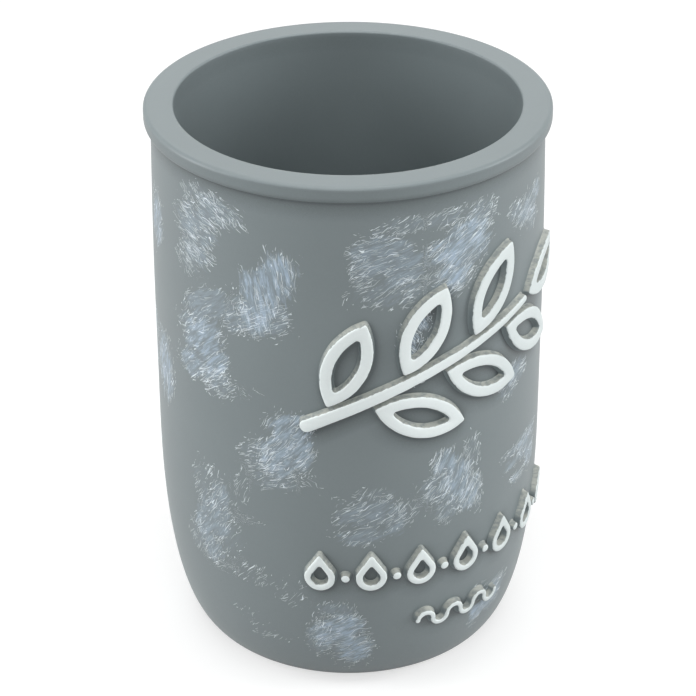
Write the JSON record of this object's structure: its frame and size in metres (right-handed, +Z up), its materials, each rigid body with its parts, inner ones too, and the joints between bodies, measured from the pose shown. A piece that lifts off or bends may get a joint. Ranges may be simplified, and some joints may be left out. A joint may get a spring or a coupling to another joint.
{
  "type": "bathroom tumbler",
  "caption": "Barrel-shaped cast resin tumbler with a rolled rim, raised painted ornament and a foam pad under the foot.",
  "frame": {"origin": "middle of the pad's underside, on the surface that the tumbler stands on", "axes": "+Z up through the mouth, -Y towards the middle of the raised ornament"},
  "size_m": [0.0754, 0.0759, 0.11],
  "materials": {
    "cast_resin": "satin grey casting with dry-brushed pale paint",
    "relief_paint": "hand-painted white on the raised faces",
    "foam_pad": "fine closed-cell foam"
  },
  "bodies": {
    "root": {"cup_body": "cast_resin", "base_pad": "foam_pad", "sprig_stem": "relief_paint", "leaf_1": "relief_paint", "leaf_2": "relief_paint", "leaf_3": "relief_paint", "leaf_4": "relief_paint", "leaf_5": "relief_paint", "leaf_6": "relief_paint", "tip_leaf": "relief_paint", "drop_1": "relief_paint", "drop_2": "relief_paint", "drop_3": "relief_paint", "drop_4": "relief_paint", "drop_5": "relief_paint", "drop_6": "relief_paint", "drop_7": "relief_paint", "bead_1": "relief_paint", "bead_2": "relief_paint", "bead_3": "relief_paint", "bead_4": "relief_paint", "bead_5": "relief_paint", "bead_6": "relief_paint", "wave_line": "relief_paint"}
  },
  "joints": []
}
